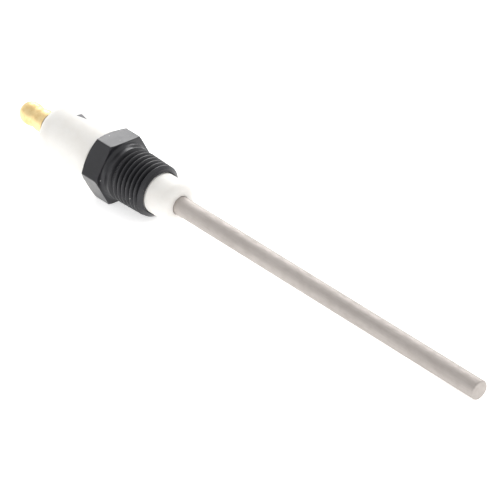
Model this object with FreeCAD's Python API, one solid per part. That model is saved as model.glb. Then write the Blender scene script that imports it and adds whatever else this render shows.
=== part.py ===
import FreeCAD, Part
import math
import os

from FreeCAD import Vector

# Flame sensor probe. A hex bushing with a taper pipe thread holds a stepped ceramic
# insulator. A metal sensing rod runs through the insulator, from a push-on terminal at
# one end to a bare length that stands in the flame at the other.
#
# Units are millimetres. Every piece is turned about the X axis, with +X towards the
# rod's tip. X = 0 is the hex's front face, and +Z is the outward normal of one hex flat.

# ---- Driving dimensions -------------------------------------------------------------

# Hex bushing
hex_wall = 1.1375                # key groove to the flats; makes the hex 15.875 across flats
hex_length = 6.35
hex_front_inset = 0.515          # hex corner in to the front chamfer's circle
hex_rear_margin = 0.4            # seat gasket's edge out to the rear chamfer's circle
hex_chamfer_angle = 30.0         # measured from the face
stem_length = 13.4               # hex front face to the bushing's front end

# Taper pipe thread on the bushing, 1/4-18 NPT
bushing_wall = 0.48              # bore to the thread's root, at the bushing's front end
thread_pitch = 25.4 / 18.0
thread_depth = 0.95
thread_root_flat = 0.10
thread_half_angle = 30.0
thread_taper = 1.0 / 32.0        # radius gained for each unit of length
thread_start = 1.61              # turns that the groove begins ahead of the front end
thread_runout = 0.05             # turns that it runs on past the neck's end
neck_fillet = 0.9                # hollow curve from the hex face down to the collar
collar_relief = 0.05             # collar below the first crest
collar_end = 2.05                # hex face to the undercut that the thread runs out in
neck_length = 2.75               # hex face to the first crest's chamfer
neck_relief = 0.03               # undercut below the thread's root
lead_in_length = 1.0             # chamfer at the front end
rim_wall = 0.3                   # width of the flat rim left at the front end

# Ceramic insulator
nose_diameter = 10.4
nose_projection = 7.2            # bushing's front end to the nose face
nose_rounding = 2.0
nose_land = 0.3                  # least flat between the rounding and the rod's bore
upper_diameter = 14.2
upper_length = 19.75             # shoulder to top face
upper_rounding = 3.9
upper_foot_chamfer = 0.3

# Sensing rod
rod_diameter = 4.7625
exposed_rod_length = 99.8        # nose face to tip
rod_tip_rounding = 0.35
stud_diameter = 3.505            # 6-32 threaded upper end
stud_pitch = 25.4 / 32.0
stud_thread_depth = 0.45
stud_root_flat = 0.08
rod_shoulder_depth = 6.4         # insulator's top face down to the rod's shoulder

# Push-on terminal
terminal_foot_diameter = 6.4
terminal_foot_length = 0.6
terminal_barrel_diameter = 6.0
terminal_barrel_end = 2.8        # foot to the end of the barrel
terminal_waist_diameter = 5.4
terminal_waist_start = 4.3       # foot to the near side of the waist
terminal_waist_length = 0.6
terminal_head_diameter = 6.0
terminal_head_land = 1.0         # straight part of the head, under its dome
terminal_length = 10.25
terminal_drill_angle = 118.0     # point of the blind hole
stud_engagement = 7.2
stud_end_gap = 0.4               # stud's end to the start of the drill's point

# Washers under the terminal
flat_washer_diameter = 6.4
flat_washer_thickness = 0.8
lock_washer_thickness = 1.0
lock_washer_width = 1.25         # radial width of its section
lock_washer_gap = 0.7
lock_washer_slant = 20.0

# Seals and fillings
seat_gasket_thickness = 0.4
seat_gasket_land = 0.6           # width that rests on the hex's rear face
packing_length = 1.5
potting_gap = 1.1                # insulator's nose to the wall of the counterbore
potting_floor = 1.0              # metal left between the counterbore and the hex face
key_depth = 0.5                  # grooves that key the cement to bushing and insulator
key_length = 1.2
rod_gasket_thickness = 0.5
stud_seal_diameter = 5.2
stud_seal_depth = 3.0

# Clearances, all radial
bore_clearance = 0.05            # insulator in bushing
rod_clearance = 0.06             # rod in insulator
stud_clearance = 0.10            # stud in insulator, washers and gasket
thread_clearance = 0.03          # terminal on stud
filling_clearance = 0.01         # cement, packing and gaskets against their walls

# Allowances for cutting
groove_reach = 0.3               # height of the thread cutter over the crests
cut_overrun = 1.0                # how far a cut runs past the face that it opens
stem_sink = 0.5                  # how far the stem's blank runs into the hex

# ---- Positions along the axis -------------------------------------------------------

hex_rear_x = -hex_length
bushing_front_x = stem_length
nose_face_x = bushing_front_x + nose_projection
rod_tip_x = nose_face_x + exposed_rod_length
shoulder_x = hex_rear_x - seat_gasket_thickness
insulator_top_x = shoulder_x - upper_length
rod_shoulder_x = insulator_top_x + rod_shoulder_depth
bore_step_x = rod_shoulder_x - rod_gasket_thickness
washer_top_x = insulator_top_x - flat_washer_thickness
terminal_foot_x = washer_top_x - lock_washer_thickness
stud_end_x = terminal_foot_x - stud_engagement
terminal_top_x = terminal_foot_x - terminal_length
potting_floor_x = -potting_floor
packing_rear_x = potting_floor_x - packing_length
key_mid_x = 0.5 * (packing_rear_x + hex_rear_x)

# ---- Radii --------------------------------------------------------------------------

nose_radius = nose_diameter / 2.0
upper_radius = upper_diameter / 2.0
rod_radius = rod_diameter / 2.0
stud_radius = stud_diameter / 2.0
bushing_bore = nose_radius + bore_clearance
thread_end_radius = bushing_bore + bushing_wall + thread_depth
rod_bore = rod_radius + rod_clearance
stud_bore = stud_radius + stud_clearance
flat_washer_radius = flat_washer_diameter / 2.0
potting_radius = nose_radius + potting_gap
seat_gasket_radius = potting_radius + seat_gasket_land
hex_flat_radius = potting_radius + key_depth + hex_wall
hex_corner_radius = hex_flat_radius * 2.0 / math.sqrt(3.0)
hex_front_radius = hex_corner_radius - hex_front_inset
hex_rear_radius = seat_gasket_radius + hex_rear_margin

# Each rounding leaves a flat: at the top for the washer, and at the nose around the bore.
top_round = min(upper_rounding, upper_radius - flat_washer_radius)
nose_round = min(nose_rounding, nose_radius - rod_bore - nose_land)


def crest_radius(x):
    """Radius over the pipe thread's crests at x."""
    return thread_end_radius + (bushing_front_x - x) * thread_taper


class Outline:
    """Half outline of a turned piece, drawn as (x, radius) and spun about X."""

    def __init__(self, x, radius):
        self.first = Vector(x, radius, 0)
        self.last = self.first
        self.edges = []

    def line(self, x, radius):
        point = Vector(x, radius, 0)
        self.edges.append(Part.LineSegment(self.last, point).toShape())
        self.last = point
        return self

    def arc(self, x, radius, centre_x, centre_radius):
        """The shorter arc to (x, radius) about the given centre."""
        point = Vector(x, radius, 0)
        centre = Vector(centre_x, centre_radius, 0)
        middle = (self.last + point) * 0.5 - centre
        middle.Length = (point - centre).Length
        self.edges.append(Part.Arc(self.last, centre + middle, point).toShape())
        self.last = point
        return self

    def solid(self):
        self.line(self.first.x, self.first.y)
        face = Part.Face(Part.Wire(self.edges))
        return face.revolve(Vector(0, 0, 0), Vector(1, 0, 0), 360)


def tube(rear_x, front_x, inner_radius, outer_radius):
    """Plain ring between two planes."""
    outline = Outline(rear_x, inner_radius).line(rear_x, outer_radius)
    return outline.line(front_x, outer_radius).line(front_x, inner_radius).solid()


def helical_groove(front_x, length, front_root, pitch, depth, root_flat, taper):
    """Cutter for a right-hand outside thread that runs from front_x towards -X."""
    taper_angle = math.degrees(math.atan(taper))
    helix = Part.makeHelix(pitch, length, front_root, taper_angle)
    reach = depth + groove_reach
    half_root = root_flat / 2.0
    half_mouth = half_root + reach * math.tan(math.radians(thread_half_angle))
    corners = [
        Vector(front_root, 0, -half_root),
        Vector(front_root, 0, half_root),
        Vector(front_root + reach, 0, half_mouth),
        Vector(front_root + reach, 0, -half_mouth),
    ]
    profile = Part.makePolygon(corners + corners[:1])
    groove = Part.Wire(helix).makePipeShell([profile], True, True)
    groove.rotate(Vector(0, 0, 0), Vector(0, 1, 0), -90)
    groove.translate(Vector(front_x, 0, 0))
    return groove


def hexagon():
    """Hex with a flat facing +Z, trimmed by the chamfer cones at both ends."""
    corners = []
    for corner in range(7):
        angle = math.radians(60.0 * corner)
        y = hex_corner_radius * math.cos(angle)
        z = hex_corner_radius * math.sin(angle)
        corners.append(Vector(hex_rear_x, y, z))
    prism = Part.Face(Part.makePolygon(corners)).extrude(Vector(hex_length, 0, 0))
    slope = math.tan(math.radians(hex_chamfer_angle))
    trim_radius = hex_corner_radius + cut_overrun
    front_run = (trim_radius - hex_front_radius) * slope
    rear_run = (trim_radius - hex_rear_radius) * slope
    trim = Outline(hex_rear_x, 0).line(hex_rear_x, hex_rear_radius)
    trim.line(hex_rear_x + rear_run, trim_radius).line(-front_run, trim_radius)
    trim.line(0, hex_front_radius).line(0, 0)
    return prism.common(trim.solid())


def threaded_stem():
    """Filleted collar, undercut, taper thread and chamfered end in front of the hex."""
    neck_radius = crest_radius(neck_length) - thread_depth - neck_relief
    collar_radius = crest_radius(neck_length) - collar_relief
    flank_run = (collar_radius - neck_radius) * math.tan(math.radians(thread_half_angle))
    fillet = min(neck_fillet, hex_flat_radius - collar_radius)
    fillet_start = collar_radius + fillet
    crest_start = neck_length + (crest_radius(neck_length) - neck_radius)
    lead_in_x = bushing_front_x - lead_in_length
    blank = Outline(-stem_sink, 0).line(-stem_sink, fillet_start).line(0, fillet_start)
    blank.arc(fillet, collar_radius, fillet, fillet_start)
    blank.line(collar_end, collar_radius).line(collar_end + flank_run, neck_radius)
    blank.line(neck_length, neck_radius).line(crest_start, crest_radius(crest_start))
    blank.line(lead_in_x, crest_radius(lead_in_x))
    blank.line(bushing_front_x, bushing_bore + rim_wall).line(bushing_front_x, 0)
    groove_front = bushing_front_x + thread_start * thread_pitch
    groove_length = groove_front - neck_length + thread_runout * thread_pitch
    groove = helical_groove(
        groove_front, groove_length, crest_radius(groove_front) - thread_depth,
        thread_pitch, thread_depth, thread_root_flat, thread_taper)
    return blank.solid().cut(groove)


def threaded_bushing():
    """Hex bushing, bored for the nose and counterbored from the rear for the potting."""
    body = hexagon().fuse(threaded_stem())
    rear = hex_rear_x - cut_overrun
    bore = tube(rear, bushing_front_x + cut_overrun, 0, bushing_bore)
    counterbore = tube(rear, potting_floor_x, 0, potting_radius)
    key = tube(key_mid_x - key_length / 2.0, key_mid_x + key_length / 2.0,
               0, potting_radius + key_depth)
    return body.cut(bore).cut(counterbore).cut(key).removeSplitter()


def ceramic_insulator():
    """Stepped insulator: thick upper body, long nose, stepped bore and a top recess."""
    key_front = key_mid_x + key_length / 2.0
    key_rear = key_mid_x - key_length / 2.0
    recess_radius = stud_seal_diameter / 2.0
    recess_floor_x = insulator_top_x + stud_seal_depth
    nose_round_x = nose_face_x - nose_round
    top_round_x = insulator_top_x + top_round
    shape = Outline(nose_face_x, rod_bore)
    shape.line(nose_face_x, nose_radius - nose_round)
    shape.arc(nose_round_x, nose_radius, nose_round_x, nose_radius - nose_round)
    shape.line(key_front, nose_radius).line(key_front, nose_radius - key_depth)
    shape.line(key_rear, nose_radius - key_depth).line(key_rear, nose_radius)
    shape.line(shoulder_x, nose_radius).line(shoulder_x, upper_radius - upper_foot_chamfer)
    shape.line(shoulder_x - upper_foot_chamfer, upper_radius)
    shape.line(top_round_x, upper_radius)
    shape.arc(insulator_top_x, upper_radius - top_round, top_round_x, upper_radius - top_round)
    shape.line(insulator_top_x, recess_radius).line(recess_floor_x, recess_radius)
    shape.line(recess_floor_x, stud_bore).line(bore_step_x, stud_bore)
    shape.line(bore_step_x, rod_bore)
    return shape.solid()


def sensing_rod():
    """Round rod with a rounded tip and a threaded upper end of smaller diameter."""
    tip_start = rod_tip_x - rod_tip_rounding
    shape = Outline(rod_tip_x, 0).line(rod_tip_x, rod_radius - rod_tip_rounding)
    shape.arc(tip_start, rod_radius, tip_start, rod_radius - rod_tip_rounding)
    shape.line(rod_shoulder_x, rod_radius).line(rod_shoulder_x, stud_radius)
    shape.line(stud_end_x + stud_thread_depth, stud_radius)
    shape.line(stud_end_x, stud_radius - stud_thread_depth).line(stud_end_x, 0)
    groove = helical_groove(
        terminal_foot_x, stud_engagement + stud_pitch, stud_radius - stud_thread_depth,
        stud_pitch, stud_thread_depth, stud_root_flat, 0.0)
    return shape.solid().cut(groove)


def snap_terminal():
    """Brass terminal: flared foot, barrel, waist and domed head over a blind hole."""
    barrel = terminal_barrel_diameter / 2.0
    waist = terminal_waist_diameter / 2.0
    head = terminal_head_diameter / 2.0
    hole = stud_radius + thread_clearance
    waist_x = terminal_foot_x - terminal_waist_start
    head_x = terminal_top_x + head
    hole_end_x = stud_end_x - stud_end_gap
    point = hole / math.tan(math.radians(terminal_drill_angle / 2.0))
    shape = Outline(terminal_foot_x, hole)
    shape.line(terminal_foot_x, terminal_foot_diameter / 2.0)
    shape.line(terminal_foot_x - terminal_foot_length, barrel)
    shape.line(terminal_foot_x - terminal_barrel_end, barrel)
    shape.line(waist_x, waist).line(waist_x - terminal_waist_length, waist)
    shape.line(head_x + terminal_head_land, head).line(head_x, head)
    shape.arc(terminal_top_x, 0, head_x, 0)
    shape.line(hole_end_x - point, 0).line(hole_end_x, hole)
    return shape.solid()


def terminal_washer():
    """Flat washer that spreads the terminal's load over the ceramic's top face."""
    return tube(washer_top_x, insulator_top_x, stud_bore, flat_washer_radius)


def lock_washer():
    """Spring washer, split by a slanted cut."""
    outer = stud_bore + lock_washer_width
    ring = tube(terminal_foot_x, washer_top_x, stud_bore, outer)
    cut_length = lock_washer_thickness + 2.0 * cut_overrun
    cutter = Part.makeBox(cut_length, lock_washer_gap, outer + cut_overrun)
    cutter.translate(Vector(-cut_length / 2.0, -lock_washer_gap / 2.0, 0))
    cutter.rotate(Vector(0, 0, 0), Vector(0, 0, 1), lock_washer_slant)
    cutter.translate(Vector((terminal_foot_x + washer_top_x) / 2.0, 0, 0))
    return ring.cut(cutter)


def seat_gasket():
    """Thin gasket between the hex's rear face and the insulator's shoulder."""
    return tube(shoulder_x, hex_rear_x, bushing_bore, seat_gasket_radius)


def packing_ring():
    """Powder packing at the bottom of the potting counterbore."""
    return tube(packing_rear_x, potting_floor_x,
                nose_radius + filling_clearance, potting_radius - filling_clearance)


def bushing_cement():
    """Cement that fills the counterbore and keys bushing and insulator together."""
    inner = nose_radius + filling_clearance
    outer = potting_radius - filling_clearance
    front = key_mid_x + key_length / 2.0 - filling_clearance
    rear = key_mid_x - key_length / 2.0 + filling_clearance
    shape = Outline(packing_rear_x, inner).line(packing_rear_x, outer)
    shape.line(front, outer).line(front, outer + key_depth)
    shape.line(rear, outer + key_depth).line(rear, outer)
    shape.line(hex_rear_x, outer).line(hex_rear_x, inner)
    shape.line(rear, inner).line(rear, inner - key_depth)
    shape.line(front, inner - key_depth).line(front, inner)
    return shape.solid()


def rod_gasket():
    """Soft washer between the rod's shoulder and the step in the insulator's bore."""
    return tube(bore_step_x, rod_shoulder_x, stud_bore, rod_bore - filling_clearance)


def stud_seal():
    """Cement plug around the stud, flush in the recess in the insulator's top."""
    return tube(insulator_top_x, insulator_top_x + stud_seal_depth,
                stud_radius + filling_clearance, stud_seal_diameter / 2.0 - filling_clearance)


PIECES = [
    threaded_bushing,
    ceramic_insulator,
    sensing_rod,
    snap_terminal,
    terminal_washer,
    lock_washer,
    seat_gasket,
    packing_ring,
    bushing_cement,
    rod_gasket,
    stud_seal,
]

os.makedirs("parts", exist_ok=True)
for make_piece in PIECES:
    solid = make_piece()
    solid.exportStep("parts/" + make_piece.__name__ + ".step")
    print(make_piece.__name__, "valid", solid.isValid(), "solids", len(solid.Solids),
          "volume", round(solid.Volume, 2), "x", round(solid.BoundBox.XMin, 3),
          round(solid.BoundBox.XMax, 3))
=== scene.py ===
import math

import bmesh
import bpy
import numpy as np
from mathutils import Euler, Matrix, Vector


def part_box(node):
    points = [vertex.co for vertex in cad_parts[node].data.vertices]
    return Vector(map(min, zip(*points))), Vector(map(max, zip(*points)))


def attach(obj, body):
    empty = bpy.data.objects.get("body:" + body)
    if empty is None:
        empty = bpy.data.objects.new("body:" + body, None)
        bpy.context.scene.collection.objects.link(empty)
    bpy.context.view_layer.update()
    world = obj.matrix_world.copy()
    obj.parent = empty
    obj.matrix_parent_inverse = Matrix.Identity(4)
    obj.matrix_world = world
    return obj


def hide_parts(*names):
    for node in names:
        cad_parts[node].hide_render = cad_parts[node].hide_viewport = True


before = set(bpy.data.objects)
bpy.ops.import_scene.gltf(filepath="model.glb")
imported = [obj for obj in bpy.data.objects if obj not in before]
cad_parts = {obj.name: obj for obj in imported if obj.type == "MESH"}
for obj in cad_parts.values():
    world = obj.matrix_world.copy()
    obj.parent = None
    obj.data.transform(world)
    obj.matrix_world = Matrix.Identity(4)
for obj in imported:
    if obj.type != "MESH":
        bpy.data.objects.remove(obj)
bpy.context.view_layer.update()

bl_info = {
    "name": "Flame sensor probe",
    "version": (1, 0, 0),
    "blender": (4, 5, 0),
    "location": "View3D > Sidebar > Probe",
    "description": "Builds a flame sensor probe on its packed frame: bushing, insulator, rod, terminal",
    "category": "Object",
}

MM = 0.001

# Every piece is turned about X. +X runs to the rod's tip, and X = 0 is the hex's front face.
LATHE_COLUMNS = 144              # points around a turned piece
BUSHING_COLUMNS = 360            # a multiple of six, so that the hex's corners have points
ROWS_PER_PITCH = 32              # points along one turn of the pipe thread
STUD_ROWS_PER_PITCH = 12
ARC_STEP = math.radians(7.5)     # turn between two points of a rounded corner
SUPPORT = 0.12 * MM              # a point this far from a rounding keeps the flat beside it flat
THREAD_FLANK = 1.0 / math.tan(math.radians(30.0))    # rise of a 60 degree thread's flank along X
DIM_SIDE = (0.60, -0.80, 0.0)    # the side that the studio's light fades towards


# ---- Sizes and finishes that a user would change --------------------------------------

def length(name, description, millimetres):
    """A length property with its default given in millimetres."""
    return bpy.props.FloatProperty(
        name=name, description=description, default=millimetres * MM, min=0.0,
        precision=5, unit="LENGTH")


def share(name, description, default):
    """A property from 0 to 1."""
    return bpy.props.FloatProperty(
        name=name, description=description, default=default, min=0.0, max=1.0,
        subtype="FACTOR")


def tint(name, description, default):
    """A colour property."""
    return bpy.props.FloatVectorProperty(
        name=name, description=description, default=default, size=3, min=0.0, max=1.0,
        subtype="COLOR")


def angle(name, description, degrees):
    """An angle property with its default given in degrees."""
    return bpy.props.FloatProperty(
        name=name, description=description, default=math.radians(degrees), unit="ROTATION")


class BushingSizes(bpy.types.PropertyGroup):
    front_circle: length("Front circle", "Diameter where the front chamfer meets the face", 17.3)
    rear_circle: length("Rear circle", "Diameter where the rear chamfer meets the face", 14.6)
    chamfer: angle("Chamfer", "Slope of both hex chamfers from the face", 30.0)
    corner: length("Edge rounding", "Softness of the hex's edges", 0.16)
    pitch: length("Pitch", "Thread pitch", 25.4 / 18.0)
    end_diameter: length("Thread end", "Diameter over the crests at the front end", 13.36)
    depth: length("Thread depth", "Crest to root", 0.95)
    root_flat: length("Root flat", "Width of the thread's root", 0.10)
    taper: bpy.props.FloatProperty(
        name="Taper", description="Radius gained for each unit of length", default=1.0 / 32.0)
    thread_start: bpy.props.FloatProperty(
        name="Thread start", description="Turns from the front end to the groove's start", default=1.61)
    thread_runout: bpy.props.FloatProperty(
        name="Thread runout", description="Turns that the groove runs past the neck", default=0.05)
    fillet: length("Neck fillet", "Hollow curve from the hex face to the collar", 0.9)
    collar_relief: length("Collar relief", "Collar below the first crest", 0.05)
    collar_end: length("Collar end", "Hex face to the undercut that the thread runs out in", 2.05)
    neck: length("Neck", "Hex face to the first crest's chamfer", 2.75)
    neck_relief: length("Neck relief", "Undercut below the thread's root", 0.03)
    lead_in: length("Lead-in", "Length of the chamfer at the front end", 1.0)
    rim: length("Rim", "Width of the flat rim at the front end", 0.3)
    bore: length("Bore", "Bore around the insulator's nose", 10.5)
    potting: length("Counterbore", "Diameter of the rear counterbore", 12.6)
    potting_floor: length("Floor", "Metal between the counterbore and the hex face", 1.0)


class InsulatorSizes(bpy.types.PropertyGroup):
    nose: length("Nose", "Diameter of the long nose", 10.4)
    nose_rounding: length("Nose rounding", "Rounding of the nose's end", 2.0)
    upper_rounding: length("Top rounding", "Rounding of the upper body's end", 3.9)
    foot_chamfer: length("Foot", "Chamfer beside the shoulder", 0.3)
    rod_bore: length("Rod bore", "Bore around the rod", 4.8825)
    stud_bore: length("Stud bore", "Bore around the rod's thin upper end", 3.705)
    bore_step: length("Bore step", "Top face to the step in the bore", 5.9)
    recess: length("Recess", "Diameter of the recess in the top", 5.2)
    recess_depth: length("Recess depth", "Depth of the recess in the top", 3.0)


class RodSizes(bpy.types.PropertyGroup):
    tip_rounding: length("Tip rounding", "Rounding of the rod's tip", 0.35)
    stud: length("Stud", "Diameter of the threaded upper end", 3.505)
    stud_pitch: length("Stud pitch", "Pitch of the upper end's thread", 25.4 / 32.0)
    stud_depth: length("Stud thread depth", "Crest to root", 0.45)
    shoulder: length("Shoulder", "Insulator's top face to the rod's shoulder", 6.4)


class TerminalSizes(bpy.types.PropertyGroup):
    foot_length: length("Foot length", "Length of the flared foot", 0.6)
    barrel: length("Barrel", "Diameter of the barrel", 6.0)
    barrel_end: length("Barrel end", "Foot to the end of the barrel", 2.8)
    waist: length("Waist", "Diameter of the waist that a connector grips", 5.4)
    waist_start: length("Waist start", "Foot to the near side of the waist", 4.3)
    waist_length: length("Waist length", "Length of the waist", 0.6)
    head: length("Head", "Diameter of the domed head", 6.0)
    head_land: length("Head land", "Straight part of the head under its dome", 1.0)
    hole: length("Hole", "Diameter of the threaded hole", 3.565)
    hole_depth: length("Hole depth", "Depth of the threaded hole", 7.6)
    hole_point: length("Hole point", "Depth of the cone at the hole's end", 1.071)
    washer_gap: length("Washer gap", "Width of the spring washer's cut", 0.7)
    washer_slant: angle("Washer slant", "Slant of the spring washer's cut", 20.0)


class ProbeFinish(bpy.types.PropertyGroup):
    oxide: tint("Black oxide", "Colour of the blackened bushing", (0.0065, 0.0067, 0.0085))
    bare_steel: tint("Bare steel", "Steel that shows where the black has worn", (0.30, 0.30, 0.31))
    oxide_wear: share("Oxide wear", "How far the bushing's edges are worn", 0.35)
    ceramic: tint("Ceramic", "Colour of the fired ceramic", (0.83, 0.815, 0.785))
    ceramic_shade: tint("Ceramic shade", "Colour of its faint cloudy patches", (0.78, 0.755, 0.715))
    ink: tint("Ink", "Colour of the small printed mark", (0.10, 0.10, 0.11))
    rod: tint("Rod", "Colour of the rod's alloy", (0.46, 0.425, 0.40))
    rod_scale: tint("Rod scale", "Colour of the rod's thin brown scale", (0.36, 0.32, 0.295))
    brass: tint("Brass", "Colour of the terminal", (0.86, 0.68, 0.36))
    tarnish: tint("Tarnish", "Colour of the brass where it has dulled", (0.60, 0.40, 0.16))
    zinc: tint("Zinc", "Colour of the plated washer", (0.74, 0.72, 0.66))
    spring: tint("Spring steel", "Colour of the spring washer", (0.60, 0.56, 0.47))
    copper: tint("Copper", "Colour of the gaskets", (0.72, 0.38, 0.24))
    cement: tint("Cement", "Colour of the potting cement", (0.62, 0.58, 0.50))
    dust: tint("Dust", "Colour of the dust specks", (0.55, 0.54, 0.52))


class StageSettings(bpy.types.PropertyGroup):
    azimuth: angle("Azimuth", "Camera's turn from the front towards the right", 46.336)
    elevation: angle("Elevation", "Camera's height above the horizon", 31.248)
    roll: angle("Roll", "Camera's roll about its own view", 3.244)
    distance: length("Distance", "Camera to the point that it aims at", 794.06)
    aim: length("Aim", "Place along the probe that the camera aims at", 45.15)
    drop: length("Drop", "How far under the axis the camera aims", 0.44)
    lens: bpy.props.FloatProperty(
        name="Lens", description="Focal length", default=245.88, unit="CAMERA")
    floor: tint("Floor", "Colour of the light table's top", (0.93, 0.93, 0.925))
    glow: bpy.props.FloatProperty(
        name="Table glow", description="Light that the table top gives to the probe",
        default=0.72, min=0.0)
    seen_glow: bpy.props.FloatProperty(
        name="Seen glow", description="The table top's own light as the camera sees it",
        default=0.6, min=0.0)
    sky_bright: bpy.props.FloatProperty(
        name="Bright side", description="Strength of the surrounding light behind the probe",
        default=1.05, min=0.0)
    sky_dim: bpy.props.FloatProperty(
        name="Dim side", description="Strength of the surrounding light on the camera's side",
        default=0.76, min=0.0)
    softbox: bpy.props.FloatProperty(
        name="Softbox", description="Power of the large light behind the probe, in watts",
        default=2.2, min=0.0)
    backlight: bpy.props.FloatProperty(
        name="Backlight", description="Power of the second light behind the probe, in watts",
        default=1.8, min=0.0)


# ---- Mesh work -------------------------------------------------------------------------

def softened(corners, closed):
    """Outline points (x, radius) through corners (x, radius, rounding), each rounded as it says."""
    count = len(corners)
    places = [Vector(corner[:2]) for corner in corners]
    reach = []
    for i, corner in enumerate(corners):
        rounding = corner[2]
        inner = closed or 0 < i < count - 1
        if not inner or rounding == 0.0:
            reach.append(0.0)
            continue
        before = places[i - 1] - places[i]
        after = places[(i + 1) % count] - places[i]
        reach.append(rounding / math.tan(before.angle(after) / 2.0))
    points = []
    for i in range(count):
        here = places[i]
        previous = (i - 1) % count
        following = (i + 1) % count
        if reach[i] == 0.0:
            points.append(here)
            continue
        before = (places[previous] - here).normalized()
        after = (places[following] - here).normalized()
        half = before.angle(after) / 2.0
        centre = here + (before + after).normalized() * corners[i][2] / math.sin(half)
        first = here + before * reach[i] - centre
        last = here + after * reach[i] - centre
        sweep = math.pi - 2.0 * half
        steps = max(3, math.ceil(sweep / ARC_STEP))
        run_before = (places[previous] - here).length - reach[previous] - reach[i]
        run_after = (places[following] - here).length - reach[following] - reach[i]
        if run_before > 3.0 * SUPPORT:
            points.append(here + before * (reach[i] + SUPPORT))
        for step in range(steps + 1):
            part = sweep * step / steps
            swung = first * math.sin(sweep - part) + last * math.sin(part)
            points.append(centre + swung / math.sin(sweep))
        if run_after > 3.0 * SUPPORT:
            points.append(here + after * (reach[i] + SUPPORT))
    return points


def around(columns):
    """Angles of the columns, from +Y towards +Z."""
    return np.arange(columns) * (2.0 * math.pi / columns)


def rings_of(x, radius, columns):
    """Points (rows, columns, 3) from x and radius, each one value for a row or one for every point."""
    theta = around(columns)[None, :]
    x = np.broadcast_to(x, radius.shape)
    flat = [x + 0.0 * theta, radius * np.cos(theta), radius * np.sin(theta)]
    return np.stack(flat, axis=-1)


def skin(name, rings, closed):
    """Mesh through rings about X: joined end to end if closed, or else brought to the axis."""
    rows, columns = rings.shape[:2]
    index = np.arange(rows * columns).reshape(rows, columns)
    beside = np.roll(index, -1, axis=1)
    below, corner = np.roll(index, -1, axis=0), np.roll(beside, -1, axis=0)
    quads = np.stack([index, beside, corner, below], axis=-1)
    points = rings.reshape(-1, 3)
    if closed:
        faces = quads.reshape(-1, 4).tolist()
    else:
        faces = quads[:-1].reshape(-1, 4).tolist()
        poles = [[rings[0, 0, 0], 0.0, 0.0], [rings[-1, 0, 0], 0.0, 0.0]]
        points = np.vstack([points, poles])
        first, last = rows * columns, rows * columns + 1
        faces += [[first, int(b), int(a)] for a, b in zip(index[0], beside[0])]
        faces += [[last, int(a), int(b)] for a, b in zip(index[-1], beside[-1])]
    mesh = bpy.data.meshes.new(name)
    mesh.from_pydata(points.tolist(), [], faces)
    work = bmesh.new()
    work.from_mesh(mesh)
    bmesh.ops.recalc_face_normals(work, faces=work.faces)
    work.to_mesh(mesh)
    work.free()
    return mesh


def turned(name, corners, closed, columns=LATHE_COLUMNS):
    """Mesh of a turned piece from its outline's corners."""
    outline = np.array([tuple(point) for point in softened(corners, closed)])
    if not closed:
        outline = outline[1:-1]
    x = outline[:, :1]
    radius = np.repeat(outline[:, 1:], columns, axis=1)
    mesh = skin(name, rings_of(x, radius, columns), closed)
    if not closed:
        mesh.vertices[-2].co.x = corners[0][0]
        mesh.vertices[-1].co.x = corners[-1][0]
    return mesh


def mark_edges(mesh, sharp_radius):
    """Stores how sharply each point stands out: 0 on a face, 1 on an edge of that radius or less."""
    count = len(mesh.vertices)
    place = np.empty(count * 3)
    normal = np.empty(count * 3)
    ends = np.empty(len(mesh.edges) * 2, dtype=int)
    mesh.vertices.foreach_get("co", place)
    mesh.vertices.foreach_get("normal", normal)
    mesh.edges.foreach_get("vertices", ends)
    place, normal, ends = place.reshape(-1, 3), normal.reshape(-1, 3), ends.reshape(-1, 2)
    bend = np.full(count, -1e9)
    for here, there in ((ends[:, 0], ends[:, 1]), (ends[:, 1], ends[:, 0])):
        step = place[here] - place[there]
        squared = np.maximum((step ** 2).sum(axis=1), 1e-14)
        np.maximum.at(bend, here, 2.0 * (step * normal[here]).sum(axis=1) / squared)
    edge = np.clip(bend * sharp_radius, 0.0, 1.0)
    layer = mesh.attributes.new("edge", "FLOAT", "POINT")
    layer.data.foreach_set("value", edge.astype(np.float32))


def smaller(a, b, blend):
    """The smaller of two radii, with the corner between them rounded over about blend."""
    near = np.maximum(blend - np.abs(a - b), 0.0) / blend
    return np.minimum(a, b) - near * near * blend / 4.0


def place_piece(mesh, name, material, nodes):
    """Puts a finished mesh in the scene, on the probe's one body, in place of its CAD nodes."""
    mesh.shade_smooth()
    mesh.materials.append(material)
    piece = bpy.data.objects.new(name, mesh)
    bpy.context.scene.collection.objects.link(piece)
    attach(piece, "root")
    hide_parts(*nodes)
    return piece


# ---- Shader work -----------------------------------------------------------------------

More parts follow.
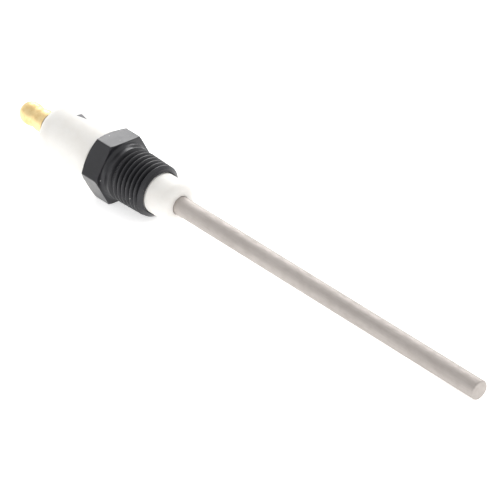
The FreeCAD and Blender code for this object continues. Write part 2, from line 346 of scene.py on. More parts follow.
class Nodes:
    """Adds nodes to one tree and joins them; an input is a value or another node's output."""

    def __init__(self, tree):
        self.tree = tree

    def add(self, kind, inputs=None, **settings):
        node = self.tree.nodes.new(kind)
        for name, value in settings.items():
            setattr(node, name, value)
        for name, value in (inputs or {}).items():
            socket = node.inputs[name]
            if isinstance(value, bpy.types.NodeSocket):
                self.tree.links.new(value, socket)
            else:
                socket.default_value = value
        return node

    def math(self, operation, a, b=0.0, clamp=False):
        return self.add("ShaderNodeMath", {0: a, 1: b}, operation=operation, use_clamp=clamp).outputs[0]

    def fade(self, value, low, high):
        """0 under low, 1 over high and smooth between."""
        node = self.add("ShaderNodeMapRange", {"Value": value, "From Min": low, "From Max": high},
                        interpolation_type="SMOOTHSTEP")
        return node.outputs["Result"]

    def blend(self, mask, a, b):
        """Colour a where the mask is 0 and b where it is 1."""
        node = self.add("ShaderNodeMix", data_type="RGBA", clamp_factor=True)
        for socket, value in zip((node.inputs[0], node.inputs[6], node.inputs[7]), (mask, a, b)):
            if isinstance(value, bpy.types.NodeSocket):
                self.tree.links.new(value, socket)
            elif socket.type == "RGBA":
                socket.default_value = (*value[:3], 1.0)
            else:
                socket.default_value = value
        return node.outputs[2]

    def group(self, tree, **inputs):
        node = self.add("ShaderNodeGroup", node_tree=tree)
        for name, value in inputs.items():
            socket = node.inputs[name.replace("_", " ").capitalize()]
            if isinstance(value, bpy.types.NodeSocket):
                self.tree.links.new(value, socket)
            else:
                socket.default_value = value
        return node


def new_group(name, inputs, outputs):
    """Empty shader group with the named sockets: its helper, its input node and its output node."""
    tree = bpy.data.node_groups.new(name, "ShaderNodeTree")
    for label, kind, default in inputs:
        socket = tree.interface.new_socket(name=label, in_out="INPUT", socket_type=kind)
        socket.default_value = default
    for label, kind in outputs:
        tree.interface.new_socket(name=label, in_out="OUTPUT", socket_type=kind)
    nodes = Nodes(tree)
    return nodes, nodes.add("NodeGroupInput"), nodes.add("NodeGroupOutput")


def shared_group(name, build):
    """The shared effect of that name, built the first time that a material asks for it."""
    return bpy.data.node_groups.get(name) or build(name)


def grain_group(name):
    """Cloudy or streaky grain. Density is how many marks there are in a metre along X, Y and Z."""
    nodes, given, out = new_group(
        name,
        [("Density", "NodeSocketVector", (1000.0, 1000.0, 1000.0)), ("Detail", "NodeSocketFloat", 3.0),
         ("Low", "NodeSocketFloat", 0.35), ("High", "NodeSocketFloat", 0.65)],
        [("Mask", "NodeSocketFloat"), ("Height", "NodeSocketFloat")])
    place = nodes.add("ShaderNodeTexCoord").outputs["Object"]
    dense = nodes.add(
        "ShaderNodeVectorMath", {0: place, 1: given.outputs["Density"]}, operation="MULTIPLY")
    noise = nodes.add("ShaderNodeTexNoise", {
        "Vector": dense.outputs[0], "Scale": 1.0, "Detail": given.outputs["Detail"], "Roughness": 0.6})
    mask = nodes.fade(noise.outputs["Fac"], given.outputs["Low"], given.outputs["High"])
    nodes.tree.links.new(mask, out.inputs["Mask"])
    nodes.tree.links.new(noise.outputs["Fac"], out.inputs["Height"])
    return nodes.tree


def edge_wear_group(name):
    """Wear that follows a piece's sharp edges and breaks up along them."""
    nodes, given, out = new_group(
        name,
        [("Amount", "NodeSocketFloat", 0.5), ("Patches", "NodeSocketFloat", 900.0)],
        [("Mask", "NodeSocketFloat")])
    edge = nodes.add("ShaderNodeAttribute", attribute_name="edge").outputs["Fac"]
    place = nodes.add("ShaderNodeTexCoord").outputs["Object"]
    noise = nodes.add("ShaderNodeTexNoise", {
        "Vector": place, "Scale": given.outputs["Patches"], "Detail": 4.0, "Roughness": 0.65})
    worn = nodes.math("MULTIPLY", edge, noise.outputs["Fac"])
    limit = nodes.math("SUBTRACT", 1.0, given.outputs["Amount"])
    over = nodes.math("ADD", limit, 0.25)
    nodes.tree.links.new(nodes.fade(worn, limit, over), out.inputs["Mask"])
    return nodes.tree


def specks_group(name):
    """Small scattered specks. Spacing is in specks to the metre, Size is a share of the spacing."""
    nodes, given, out = new_group(
        name,
        [("Spacing", "NodeSocketFloat", 600.0), ("Size", "NodeSocketFloat", 0.12),
         ("Share", "NodeSocketFloat", 0.2)],
        [("Mask", "NodeSocketFloat")])
    place = nodes.add("ShaderNodeTexCoord").outputs["Object"]
    cells = nodes.add("ShaderNodeTexVoronoi", {"Vector": place, "Scale": given.outputs["Spacing"]})
    chance = nodes.add("ShaderNodeSeparateColor", {"Color": cells.outputs["Color"]}).outputs["Red"]
    chosen = nodes.math("LESS_THAN", chance, given.outputs["Share"])
    half = nodes.math("MULTIPLY", given.outputs["Size"], 0.5)
    far = nodes.fade(cells.outputs["Distance"], half, given.outputs["Size"])
    near = nodes.math("SUBTRACT", 1.0, far)
    nodes.tree.links.new(nodes.math("MULTIPLY", near, chosen), out.inputs["Mask"])
    return nodes.tree


def grain(nodes, density, low=0.35, high=0.65, detail=3.0):
    """Mask and height of the shared grain."""
    tree = shared_group("grain", grain_group)
    node = nodes.group(tree, density=density, detail=detail, low=low, high=high)
    return node.outputs["Mask"], node.outputs["Height"]


def edge_wear(nodes, amount, patches=900.0):
    """Mask of the shared edge wear."""
    tree = shared_group("edge_wear", edge_wear_group)
    return nodes.group(tree, amount=amount, patches=patches).outputs["Mask"]


def specks(nodes, spacing, size, portion):
    """Mask of the shared specks; portion is the share of places that have one."""
    tree = shared_group("specks", specks_group)
    return nodes.group(tree, spacing=spacing, size=size, share=portion).outputs["Mask"]


def new_material(name):
    """Material with one surface shader; returns it, its node helper and the shader."""
    material = bpy.data.materials.new(name)
    material.use_nodes = True
    nodes = Nodes(material.node_tree)
    surface = material.node_tree.nodes["Principled BSDF"]
    return material, nodes, surface


def dress(nodes, surface, colour, roughness, height=None, bump=0.0, metallic=None):
    """Joins what varies over a piece to its surface shader; bump is the height's depth in metres."""
    links = nodes.tree.links
    links.new(colour, surface.inputs["Base Color"])
    links.new(roughness, surface.inputs["Roughness"])
    if metallic is not None:
        links.new(metallic, surface.inputs["Metallic"])
    if height is not None:
        normal = nodes.add("ShaderNodeBump", {"Strength": 1.0, "Distance": bump, "Height": height})
        links.new(normal.outputs["Normal"], surface.inputs["Normal"])


def between(nodes, mask, low, high):
    """A value that goes from low to high with a mask."""
    node = nodes.add("ShaderNodeMapRange", {"Value": mask, "To Min": low, "To Max": high})
    return node.outputs["Result"]


def black_oxide(finish):
    """Blackened steel: satin, faintly cloudy, with worn edges and a little dust."""
    material, nodes, surface = new_material("black_oxide_steel")
    clouds = grain(nodes, (260.0, 260.0, 260.0), 0.3, 0.7)[0]
    pits, pit_height = grain(nodes, (5200.0, 5200.0, 5200.0), 0.4, 0.72, 4.0)
    worn = edge_wear(nodes, finish.oxide_wear)
    dust = specks(nodes, 620.0, 0.10, 0.16)
    tone = nodes.blend(clouds, finish.oxide, [1.45 * part for part in finish.oxide])
    tone = nodes.blend(nodes.math("MULTIPLY", worn, 0.55), tone, finish.bare_steel)
    tone = nodes.blend(nodes.math("MULTIPLY", dust, 0.75), tone, finish.dust)
    rough = between(nodes, clouds, 0.33, 0.41)
    rough = nodes.math("ADD", rough, nodes.math("MULTIPLY", pits, 0.06))
    surface.inputs["IOR"].default_value = 1.42
    surface.inputs["Specular Tint"].default_value = (0.97, 0.96, 1.0, 1.0)
    surface.inputs["Coat Weight"].default_value = 0.35
    surface.inputs["Coat Roughness"].default_value = 0.30
    surface.inputs["Sheen Weight"].default_value = 0.26
    surface.inputs["Sheen Roughness"].default_value = 0.3
    dress(nodes, surface, tone, rough, pit_height, 0.012 * MM, nodes.math("MULTIPLY", worn, 0.6))
    return material


def fired_ceramic(finish, mark_place, mark_size):
    """Matt white ceramic with a fine tooth, faint clouds and one small printed pointer."""
    material, nodes, surface = new_material("white_ceramic")
    clouds = grain(nodes, (170.0, 230.0, 230.0), 0.25, 0.8)[0]
    tooth, tooth_height = grain(nodes, (4200.0, 4200.0, 4200.0), 0.3, 0.7, 5.0)
    pits = specks(nodes, 900.0, 0.09, 0.10)
    tone = nodes.blend(clouds, finish.ceramic, finish.ceramic_shade)
    tone = nodes.blend(nodes.math("MULTIPLY", pits, 0.25), tone, finish.rod_scale)
    ink = pointer_mark(nodes, mark_place, mark_size)
    breakup = grain(nodes, (6500.0, 6500.0, 6500.0), 0.25, 0.5)[0]
    ink = nodes.math("MULTIPLY", ink, between(nodes, breakup, 0.7, 1.0))
    tone = nodes.blend(ink, tone, finish.ink)
    rough = between(nodes, tooth, 0.48, 0.62)
    surface.inputs["Subsurface Weight"].default_value = 0.12
    surface.inputs["Subsurface Radius"].default_value = (1.0, 0.9, 0.8)
    surface.inputs["Subsurface Scale"].default_value = 0.4 * MM
    dress(nodes, surface, tone, rough, tooth_height, 0.010 * MM)
    return material


def pointer_mark(nodes, place, size):
    """Mask of a plain solid triangle printed on the upper side, with its point towards +X."""
    split = nodes.add("ShaderNodeSeparateXYZ", {0: nodes.add("ShaderNodeTexCoord").outputs["Object"]})
    along = nodes.math("DIVIDE", nodes.math("SUBTRACT", split.outputs["X"], place[0]), size[0])
    across = nodes.math("ABSOLUTE", nodes.math("SUBTRACT", split.outputs["Y"], place[1]))
    across = nodes.math("DIVIDE", across, size[1])
    width = nodes.math("SUBTRACT", 1.0, along)
    inside = nodes.math("SUBTRACT", width, nodes.math("MULTIPLY", across, 2.0))
    sides = nodes.fade(inside, 0.0, 0.12)
    base = nodes.fade(along, 0.0, 0.08)
    above = nodes.math("GREATER_THAN", split.outputs["Z"], 0.0)
    return nodes.math("MULTIPLY", nodes.math("MULTIPLY", sides, base), above)


def drawn_rod(finish):
    """Drawn alloy rod: fine lengthwise streaks under a thin mottled scale."""
    material, nodes, surface = new_material("rod_alloy")
    streaks, streak_height = grain(nodes, (30.0, 7000.0, 7000.0), 0.3, 0.7, 2.0)
    mottle = grain(nodes, (420.0, 900.0, 900.0), 0.38, 0.7, 5.0)[0]
    patches = grain(nodes, (60.0, 150.0, 150.0), 0.35, 0.75)[0]
    worn = edge_wear(nodes, 0.55)
    tone = nodes.blend(nodes.math("MULTIPLY", streaks, 0.35), finish.rod, finish.rod_scale)
    tone = nodes.blend(nodes.math("MULTIPLY", mottle, 0.45), tone, finish.rod_scale)
    tone = nodes.blend(nodes.math("MULTIPLY", patches, 0.35), tone, [1.2 * part for part in finish.rod])
    tone = nodes.blend(nodes.math("MULTIPLY", worn, 0.5), tone, [1.35 * part for part in finish.rod])
    rough = between(nodes, mottle, 0.50, 0.62)
    rough = nodes.math("ADD", rough, nodes.math("MULTIPLY", streaks, 0.05))
    dress(nodes, surface, tone, rough, streak_height, 0.002 * MM, between(nodes, mottle, 0.6, 0.4))
    return material


def turned_metal(name, clean, dull, rough_low, rough_high, ring_depth, tarnish):
    """Metal with fine turning rings, dulled in patches and brighter along its edges."""
    material, nodes, surface = new_material(name)
    rings, ring_height = grain(nodes, (9000.0, 0.0, 0.0), 0.3, 0.7)
    patches = grain(nodes, (500.0, 500.0, 500.0), 0.35, 0.7, 4.0)[0]
    worn = edge_wear(nodes, 0.6)
    dust = specks(nodes, 900.0, 0.10, 0.12)
    tone = nodes.blend(nodes.math("MULTIPLY", patches, tarnish), clean, dull)
    tone = nodes.blend(nodes.math("MULTIPLY", rings, 0.12), tone, dull)
    bright = [min(1.0, 1.15 * part) for part in clean]
    tone = nodes.blend(nodes.math("MULTIPLY", worn, 0.5), tone, bright)
    rough = between(nodes, patches, rough_low, rough_high)
    rough = nodes.math("ADD", rough, nodes.math("MULTIPLY", dust, 0.2))
    surface.inputs["Metallic"].default_value = 1.0
    dress(nodes, surface, tone, rough, ring_height, ring_depth)
    return material


def coarse_filling(name, colour, size):
    """Cast cement or pressed powder with grains of the given size."""
    material, nodes, surface = new_material(name)
    density = 1.0 / size
    lumps, lump_height = grain(nodes, (density, density, density), 0.3, 0.7, 5.0)
    pits = specks(nodes, 0.4 * density, 0.2, 0.3)
    tone = nodes.blend(lumps, [0.8 * part for part in colour], colour)
    tone = nodes.blend(nodes.math("MULTIPLY", pits, 0.5), tone, [0.55 * part for part in colour])
    dress(nodes, surface, tone, between(nodes, lumps, 0.75, 0.92), lump_height, 0.25 * size)
    return material


# ---- Pieces ----------------------------------------------------------------------------

def hex_reach(theta, flats, rounding):
    """Distance from the axis to the hex's side at each angle, with slightly rounded corners."""
    corner_cut = rounding * (2.0 / math.sqrt(3.0) - 1.0)
    power = -math.log(2.0) / math.log(1.0 - corner_cut / (flats / math.sqrt(3.0)))
    normals = np.radians(30.0 + 60.0 * np.arange(6))
    facing = np.maximum(np.cos(theta[:, None] - normals[None, :]), 0.0)
    return flats / 2.0 / (facing ** power).sum(axis=1) ** (1.0 / power)


def edge_drop(distance, rounding):
    """How far a rounded edge falls back at a distance from the face beside it."""
    inside = np.clip(rounding - distance, 0.0, rounding)
    return rounding - np.sqrt(rounding ** 2 - inside ** 2)


def groove_offset(x, theta, first_groove, pitch):
    """Way along X from the middle of the nearest turn of a right-hand groove."""
    middle = first_groove + pitch * (theta - math.pi / 2.0) / (2.0 * math.pi)
    return (x - middle + pitch / 2.0) % pitch - pitch / 2.0


def hex_rings(sizes, low, flats, columns):
    """Rows of x and radius over the hex, from its rear face to its front face."""
    slope = math.tan(sizes.chamfer)
    soft = sizes.corner
    margin = 0.3 * MM
    rear_count, middle_count, front_count = 36, 10, 20
    rear_run = (flats / math.sqrt(3.0) - sizes.rear_circle / 2.0) * slope + margin
    front_run = (flats / math.sqrt(3.0) - sizes.front_circle / 2.0) * slope + margin
    rear_rows = np.linspace(low, low + rear_run, rear_count)
    middle_rows = np.linspace(low + rear_run, -front_run, middle_count)[1:-1]
    front_rows = np.linspace(-front_run, 0.0, front_count)
    x = np.concatenate([rear_rows, middle_rows, front_rows])[:, None]
    side = hex_reach(around(columns), flats, soft)[None, :]
    rear_cone = sizes.rear_circle / 2.0 + (x - low) / slope
    front_cone = sizes.front_circle / 2.0 - x / slope
    radius = smaller(smaller(side, rear_cone, soft), front_cone, soft)
    radius = radius - edge_drop(x - low, 0.6 * soft) - edge_drop(-x, 0.6 * soft)
    return x, radius


def stem_rings(sizes, front, columns):
    """Rows of x and radius over the fillet, collar, undercut, thread and lead-in chamfer."""
    theta = around(columns)[None, :]
    end_crest = sizes.end_diameter / 2.0
    crest_at_neck = end_crest + (front - sizes.neck) * sizes.taper
    neck_radius = crest_at_neck - sizes.depth - sizes.neck_relief
    collar_radius = crest_at_neck - sizes.collar_relief
    turn = np.linspace(0.0, math.pi / 2.0, 15)[:, None]
    fillet_x = sizes.fillet * (1.0 - np.cos(turn))
    fillet_radius = collar_radius + sizes.fillet * (1.0 - np.sin(turn)) + 0.0 * theta
    rows = int(round((front - sizes.fillet) / sizes.pitch * ROWS_PER_PITCH))
    x = np.linspace(sizes.fillet, front, rows + 1)[1:, None]
    crest = end_crest + (front - x) * sizes.taper
    rise = neck_radius + np.maximum(x - sizes.neck, 0.0)
    collar = collar_radius - np.maximum(x - sizes.collar_end, 0.0) * THREAD_FLANK
    rim_radius = sizes.bore / 2.0 + sizes.rim
    cone_slope = (end_crest + sizes.lead_in * sizes.taper - rim_radius) / sizes.lead_in
    cone = rim_radius + (front - x) * cone_slope
    crest_blend, root_blend = 0.10 * MM, 0.09 * MM
    blank = smaller(smaller(crest, np.maximum(collar, rise), crest_blend), cone, crest_blend)
    offset = groove_offset(x, theta, front + sizes.thread_start * sizes.pitch, sizes.pitch)
    past_neck = (sizes.neck - x + offset) / sizes.pitch
    fade = 0.1
    depth = sizes.depth * np.clip((sizes.thread_runout + fade - past_neck) / fade, 0.0, 1.0)
    flank = np.maximum(np.abs(offset) - sizes.root_flat / 2.0, 0.0) * THREAD_FLANK
    radius = smaller(blank, crest - depth + flank, root_blend)
    least_wall = 0.1 * MM
    radius = np.maximum(radius, sizes.bore / 2.0 + least_wall)
    return np.vstack([fillet_x, x]), np.vstack([fillet_radius, radius])


def bushing_mesh(sizes):
    """Hex and threaded stem as one skin, closed through the bore and the rear counterbore."""
    low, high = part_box("threaded_bushing")
    flats = high.z - low.z
    columns = BUSHING_COLUMNS
    hex_x, hex_radius = hex_rings(sizes, low.x, flats, columns)
    stem_x, stem_radius = stem_rings(sizes, high.x, columns)
    face_radius = (hex_radius[-1:] + stem_radius[:1]) / 2.0
    bore, pot = sizes.bore / 2.0, sizes.potting / 2.0
    inside = softened([
        (high.x, bore, 0.05 * MM),
        (-sizes.potting_floor, bore, 0.05 * MM),
        (-sizes.potting_floor, pot, 0.1 * MM),
        (low.x, pot, 0.05 * MM)], True)
    inside = np.array([tuple(point) for point in inside])
    inside_x, inside_radius = inside[:, :1], np.repeat(inside[:, 1:], columns, axis=1)
    x = np.vstack([hex_x, [[0.0]], stem_x, inside_x])
    radius = np.vstack([hex_radius, face_radius, stem_radius, inside_radius])
    return skin("hex_bushing", rings_of(x, radius, columns), True)


def insulator_mesh(sizes):
    """Stepped ceramic: thick upper body, long nose, and the bores that hold the rod."""
    low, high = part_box("ceramic_insulator")
    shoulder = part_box("seat_gasket")[0].x
    upper = (high.z - low.z) / 2.0
    nose = sizes.nose / 2.0
    rod_bore, stud_bore, recess = sizes.rod_bore / 2.0, sizes.stud_bore / 2.0, sizes.recess / 2.0
    fine = 0.12 * MM
    return turned("insulator_body", [
        (high.x, rod_bore, fine),
        (high.x, nose, sizes.nose_rounding),
        (shoulder, nose, fine),
        (shoulder, upper, sizes.foot_chamfer),
        (low.x, upper, sizes.upper_rounding),
        (low.x, recess, fine),
        (low.x + sizes.recess_depth, recess, fine),
        (low.x + sizes.recess_depth, stud_bore, fine),
        (low.x + sizes.bore_step, stud_bore, fine),
        (low.x + sizes.bore_step, rod_bore, fine)], True)


def rod_mesh(sizes):
    """Plain rod with a rounded tip; its thin upper end has a right-hand thread."""
    low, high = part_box("sensing_rod")
    radius = (high.z - low.z) / 2.0
    stud = sizes.stud / 2.0
    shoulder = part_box("ceramic_insulator")[0].x + sizes.shoulder
    thread_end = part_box("snap_terminal")[1].x
    columns = LATHE_COLUMNS
    fine = 0.05 * MM
    body = softened([
        (high.x, 0.0, 0.0),
        (high.x, radius, sizes.tip_rounding),
        (shoulder, radius, fine),
        (shoulder, stud, fine),
        (thread_end, stud, 0.0)], False)[1:]
    body = np.array([tuple(point) for point in body])
    rows = int(round((thread_end - low.x) / sizes.stud_pitch * STUD_ROWS_PER_PITCH))
    x = np.linspace(thread_end, low.x, rows + 1)[1:, None]
    offset = np.abs(groove_offset(x, around(columns)[None, :], thread_end, sizes.stud_pitch))
    flank = stud - sizes.stud_depth + offset * THREAD_FLANK
    end_cone = stud - sizes.stud_depth + (x - low.x)
    threaded = smaller(smaller(stud + 0.0 * flank, flank, fine), end_cone, fine)
    radii = np.vstack([np.repeat(body[:, 1:], columns, axis=1), threaded])
    return skin("flame_rod", rings_of(np.vstack([body[:, :1], x]), radii, columns), False)


def terminal_mesh(sizes):
    low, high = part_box("snap_terminal")
    foot = (high.z - low.z) / 2.0
    barrel, waist, head, hole = sizes.barrel / 2.0, sizes.waist / 2.0, sizes.head / 2.0, sizes.hole / 2.0
    waist_x = high.x - sizes.waist_start
    hole_end = high.x - sizes.hole_depth
    return turned("push_on_terminal", [
        (low.x, 0.0, 0.0),
        (low.x, head, 0.98 * head),
        (low.x + head + sizes.head_land, head, 0.6 * MM),
        (waist_x - sizes.waist_length, waist, 0.5 * MM),
        (waist_x, waist, 0.5 * MM),
        (high.x - sizes.barrel_end, barrel, 0.4 * MM),
        (high.x - sizes.foot_length, barrel, 0.2 * MM),
        (high.x, foot, 0.08 * MM),
        (high.x, hole, 0.1 * MM),
        (hole_end, hole, 0.1 * MM),
        (hole_end - sizes.hole_point, 0.0, 0.0)], False)


def ring_mesh(name, node, bore, rounding):
    """Plain ring that fills a CAD ring's box around the given bore."""
    low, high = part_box(node)
    outer = (high.z - low.z) / 2.0
    corners = [(low.x, bore), (low.x, outer), (high.x, outer), (high.x, bore)]
    return turned(name, [(x, radius, rounding) for x, radius in corners], True)


def spring_washer_mesh(sizes, bore):
    """Square-section ring, cut through on a slant."""
    low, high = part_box("lock_washer")
    outer = (high.y - low.y) / 2.0
    middle = (low.x + high.x) / 2.0
    section = softened([
        (low.x, bore, 0.1 * MM), (low.x, outer, 0.1 * MM),
        (high.x, outer, 0.1 * MM), (high.x, bore, 0.1 * MM)], True)
    section = np.array([tuple(point) for point in section])
    x = section[:, 0][None, :]
    radius = section[:, 1][None, :]
    steps = np.linspace(0.0, 1.0, LATHE_COLUMNS)[:, None]
    cut_side = sizes.washer_gap / 2.0 / math.cos(sizes.washer_slant)
    lean = (x - middle) * math.tan(sizes.washer_slant)
    start = np.arcsin((cut_side - lean) / radius)
    end = 2.0 * math.pi - np.arcsin((cut_side + lean) / radius)
    sweep = start + (end - start) * steps + math.pi / 2.0
    points = np.stack([x + 0.0 * sweep, radius * np.cos(sweep), radius * np.sin(sweep)], axis=-1)
    rows, columns = points.shape[:2]
    index = np.arange(rows * columns).reshape(rows, columns)
    beside = np.roll(index, -1, axis=1)
    quads = np.stack([index[:-1], beside[:-1], beside[1:], index[1:]], axis=-1)
    faces = quads.reshape(-1, 4).tolist() + [index[0].tolist(), index[-1][::-1].tolist()]
    mesh = bpy.data.meshes.new("spring_washer")
    mesh.from_pydata(points.reshape(-1, 3).tolist(), [], faces)
    work = bmesh.new()
    work.from_mesh(mesh)
    bmesh.ops.recalc_face_normals(work, faces=work.faces)
    for edge in work.edges:
        if len(edge.link_faces) == 2 and edge.calc_face_angle() > math.radians(50.0):
            edge.smooth = False
    work.to_mesh(mesh)
    work.free()
    return mesh


# ---- Operators -------------------------------------------------------------------------

class PROBE_OT_bushing(bpy.types.Operator):
    """Build the blackened hex bushing with its taper pipe thread"""
    bl_idname = "probe.bushing"
    bl_label = "Hex bushing"

    def execute(self, context):
        mesh = bushing_mesh(context.scene.probe_bushing)
        mark_edges(mesh, 0.16 * MM)
        material = black_oxide(context.scene.probe_finish)
        place_piece(mesh, "hex_bushing", material, ["threaded_bushing"])
        return {"FINISHED"}


class PROBE_OT_insulator(bpy.types.Operator):
    """Build the stepped ceramic insulator"""
    bl_idname = "probe.insulator"
    bl_label = "Insulator"

    def execute(self, context):
        mesh = insulator_mesh(context.scene.probe_insulator)
        mark_edges(mesh, 0.2 * MM)
        mark_place = (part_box("ceramic_insulator")[0].x + 8.0 * MM, 0.75 * MM)
        mark_size = (3.4 * MM, 1.9 * MM)
        material = fired_ceramic(context.scene.probe_finish, mark_place, mark_size)
        place_piece(mesh, "insulator_body", material, ["ceramic_insulator"])
        return {"FINISHED"}


class PROBE_OT_rod(bpy.types.Operator):
    """Build the sensing rod with its threaded upper end"""
    bl_idname = "probe.rod"
    bl_label = "Sensing rod"

    def execute(self, context):
        mesh = rod_mesh(context.scene.probe_rod)
        mark_edges(mesh, 0.3 * MM)
        material = drawn_rod(context.scene.probe_finish)
        place_piece(mesh, "flame_rod", material, ["sensing_rod"])
        return {"FINISHED"}


class PROBE_OT_terminal(bpy.types.Operator):
    """Build the brass push-on terminal"""
    bl_idname = "probe.terminal"
    bl_label = "Terminal"

    def execute(self, context):
        finish = context.scene.probe_finish
        mesh = terminal_mesh(context.scene.probe_terminal)
        mark_edges(mesh, 0.2 * MM)
        brass = turned_metal("terminal_brass", finish.brass, finish.tarnish, 0.42, 0.55, 0.003 * MM, 0.4)
        place_piece(mesh, "push_on_terminal", brass, ["snap_terminal"])
        return {"FINISHED"}


class PROBE_OT_washers(bpy.types.Operator):
    """Build the flat washer and the spring washer under the terminal"""
    bl_idname = "probe.washers"
    bl_label = "Washers"

    def execute(self, context):
        finish = context.scene.probe_finish
        bore = context.scene.probe_insulator.stud_bore / 2.0
        flat = ring_mesh("flat_washer", "terminal_washer", bore, 0.1 * MM)
        spring = spring_washer_mesh(context.scene.probe_terminal, bore)
        zinc = turned_metal("plated_steel", finish.zinc, finish.spring, 0.3, 0.45, 0.003 * MM, 0.3)
        dark = turned_metal("spring_steel", finish.spring, finish.oxide, 0.35, 0.5, 0.003 * MM, 0.3)
        for mesh, name, material, slot, node in (
                (flat, "flat_washer", zinc, "plated_steel", "terminal_washer"),
                (spring, "spring_washer", dark, "spring_steel", "lock_washer")):
            mark_edges(mesh, 0.15 * MM)
            place_piece(mesh, name, material, [node])
        return {"FINISHED"}


class PROBE_OT_seals(bpy.types.Operator):
    """Dress the gaskets, the packing and the cement that lie inside"""
    bl_idname = "probe.seals"
    bl_label = "Gaskets and fillings"

    def execute(self, context):
        finish = context.scene.probe_finish
        copper = turned_metal("gasket_metal", finish.copper, finish.tarnish, 0.32, 0.5, 0.004 * MM, 0.5)
        cement = coarse_filling("potting_cement", finish.cement, 0.25 * MM)
        powder = coarse_filling("packing_powder", finish.ceramic_shade, 0.12 * MM)
        gap = 0.01 * MM
        bushing_bore = context.scene.probe_bushing.bore / 2.0
        stud_bore = context.scene.probe_insulator.stud_bore / 2.0
        stud = context.scene.probe_rod.stud / 2.0 + gap
        nose = context.scene.probe_insulator.nose / 2.0 + gap
        rings = (
            ("seat_gasket_ring", "seat_gasket", bushing_bore, copper, "gasket_metal"),
            ("rod_gasket_ring", "rod_gasket", stud_bore, copper, "gasket_metal"),
            ("stud_seal_plug", "stud_seal", stud, cement, "potting_cement"),
            ("packing_fill", "packing_ring", nose, powder, "packing_powder"))
        for name, node, bore, material, slot in rings:
            mesh = ring_mesh(name, node, bore, 0.08 * MM)
            mark_edges(mesh, 0.15 * MM)
            place_piece(mesh, name, material, [node])
        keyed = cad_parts["bushing_cement"]
        keyed.data.materials.clear()
        keyed.data.materials.append(cement)
        return {"FINISHED"}


def area_light(name, direction, distance, size, power, target):
    """Square soft light that faces the target from a direction."""
    light = bpy.data.lights.new(name, "AREA")
    light.shape = "SQUARE"
    light.size = size
    light.energy = power
    lamp = bpy.data.objects.new(name, light)
    bpy.context.scene.collection.objects.link(lamp)
    heading = Vector(direction).normalized()
    lamp.location = target + heading * distance
    lamp.rotation_euler = heading.to_track_quat("Z", "Y").to_euler()


def studio_sky(bright, dim):
    """White light from all round, dimmer on the viewer's right; the camera sees plain white."""
    world = bpy.data.worlds.new("studio_sky")
    world.use_nodes = True
    nodes = Nodes(world.node_tree)
    background = world.node_tree.nodes["Background"]
    heading = nodes.add("ShaderNodeTexCoord").outputs["Generated"]
    side = nodes.add("ShaderNodeVectorMath", {0: heading, 1: DIM_SIDE}, operation="DOT_PRODUCT")
    level = nodes.add("ShaderNodeMapRange", {
        "Value": side.outputs["Value"], "From Min": -0.7, "From Max": 0.7,
        "To Min": bright, "To Max": dim})
    seen = nodes.add("ShaderNodeLightPath").outputs["Is Camera Ray"]
    level = nodes.add("ShaderNodeMapRange", {
        "Value": seen, "To Min": level.outputs["Result"], "To Max": 1.0})
    world.node_tree.links.new(level.outputs["Result"], background.inputs["Strength"])
    background.inputs["Color"].default_value = (1.0, 1.0, 1.0, 1.0)
    return world


def floor_piece(colour, glow, seen_glow):
    """Pale, softly lit table top that the hex's lower front edge and the rod's tip rest on."""
    hex_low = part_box("threaded_bushing")[0]
    rod_low, rod_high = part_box("sensing_rod")
    rest_x, rest_z = -0.1 * MM, hex_low.z
    tilt = math.atan2(rod_low.z - rest_z, rod_high.x - rest_x)
    half = 1.5
    mesh = bpy.data.meshes.new("table_top")
    work = bmesh.new()
    bmesh.ops.create_grid(work, x_segments=24, y_segments=24, size=half)
    lean = Euler((0.0, -tilt, 0.0)).to_matrix().to_4x4()
    work.transform(Matrix.Translation((rest_x, 0.0, rest_z)) @ lean)
    work.to_mesh(mesh)
    work.free()
    table = bpy.data.objects.new("table_top", mesh)
    bpy.context.scene.collection.objects.link(table)
    material, nodes, surface = new_material("pale_table")
    fibres, fibre_height = grain(nodes, (900.0, 900.0, 900.0), 0.3, 0.7)
    tone = nodes.blend(fibres, [0.99 * part for part in colour], colour)
    surface.inputs["Specular IOR Level"].default_value = 0.2
    surface.inputs["Emission Color"].default_value = (1.0, 1.0, 1.0, 1.0)
    seen = nodes.add("ShaderNodeLightPath").outputs["Is Camera Ray"]
    nodes.tree.links.new(between(nodes, seen, glow, seen_glow), surface.inputs["Emission Strength"])
    dress(nodes, surface, tone, between(nodes, fibres, 0.8, 0.9), fibre_height, 0.01 * MM)
    mesh.materials.append(material)


def place_camera(stage):
    """Camera at its azimuth and elevation, rolled about its view."""
    lens = bpy.data.cameras.new("camera")
    lens.lens = stage.lens
    lens.sensor_width = 36.0
    lens.clip_start = 0.01
    lens.clip_end = 20.0
    camera = bpy.data.objects.new("camera", lens)
    bpy.context.scene.collection.objects.link(camera)
    back = Vector((
        math.sin(stage.azimuth) * math.cos(stage.elevation),
        -math.cos(stage.azimuth) * math.cos(stage.elevation),
        math.sin(stage.elevation)))
    aim = Vector((stage.aim, 0.0, -stage.drop))
    turn = back.to_track_quat("Z", "Y").to_matrix().to_4x4() @ Matrix.Rotation(stage.roll, 4, "Z")
    camera.matrix_world = Matrix.Translation(aim + back * stage.distance) @ turn
    bpy.context.scene.camera = camera


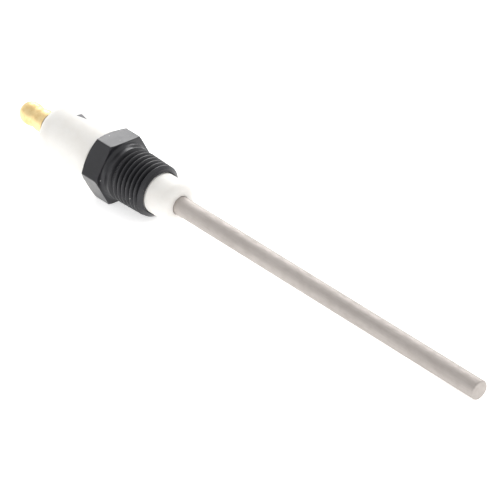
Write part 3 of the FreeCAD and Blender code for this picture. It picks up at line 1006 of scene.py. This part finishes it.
class PROBE_OT_stage(bpy.types.Operator):
    """Set up the pale table, the studio light and the camera"""
    bl_idname = "probe.stage"
    bl_label = "Stage, light and camera"

    def execute(self, context):
        stage = context.scene.probe_stage
        context.scene.view_settings.view_transform = "Standard"
        context.scene.world = studio_sky(stage.sky_bright, stage.sky_dim)
        floor_piece(stage.floor, stage.glow, stage.seen_glow)
        area_light("softbox", (-0.62, 0.60, 0.52), 0.8, 0.4, stage.softbox, Vector())
        area_light("backlight", (0.05, 0.81, 0.58), 0.8, 0.35, stage.backlight, Vector())
        place_camera(stage)
        return {"FINISHED"}


class PROBE_PT_panel(bpy.types.Panel):
    """Sidebar panel that lists the probe's pieces and their sizes"""
    bl_label = "Flame sensor probe"
    bl_idname = "PROBE_PT_panel"
    bl_space_type = "VIEW_3D"
    bl_region_type = "UI"
    bl_category = "Probe"

    def draw(self, context):
        for operator, settings in STEPS:
            box = self.layout.box()
            box.operator(operator.bl_idname)
            if settings:
                group = getattr(context.scene, settings)
                for name in group.bl_rna.properties.keys():
                    if name not in ("rna_type", "name"):
                        box.prop(group, name)


SETTINGS = (
    ("probe_bushing", BushingSizes),
    ("probe_insulator", InsulatorSizes),
    ("probe_rod", RodSizes),
    ("probe_terminal", TerminalSizes),
    ("probe_finish", ProbeFinish),
    ("probe_stage", StageSettings),
)
STEPS = (
    (PROBE_OT_bushing, "probe_bushing"),
    (PROBE_OT_insulator, "probe_insulator"),
    (PROBE_OT_rod, "probe_rod"),
    (PROBE_OT_terminal, "probe_terminal"),
    (PROBE_OT_washers, None),
    (PROBE_OT_seals, "probe_finish"),
    (PROBE_OT_stage, "probe_stage"),
)


def register():
    for name, group in SETTINGS:
        bpy.utils.register_class(group)
        setattr(bpy.types.Scene, name, bpy.props.PointerProperty(type=group))
    for operator, _ in STEPS:
        bpy.utils.register_class(operator)
    bpy.utils.register_class(PROBE_PT_panel)


def unregister():
    bpy.utils.unregister_class(PROBE_PT_panel)
    for operator, _ in reversed(STEPS):
        bpy.utils.unregister_class(operator)
    for name, group in reversed(SETTINGS):
        delattr(bpy.types.Scene, name)
        bpy.utils.unregister_class(group)


def main():
    register()
    bpy.ops.probe.bushing()
    bpy.ops.probe.insulator()
    bpy.ops.probe.rod()
    bpy.ops.probe.terminal()
    bpy.ops.probe.washers()
    bpy.ops.probe.seals()
    bpy.ops.probe.stage()


if __name__ == "__main__":
    main()
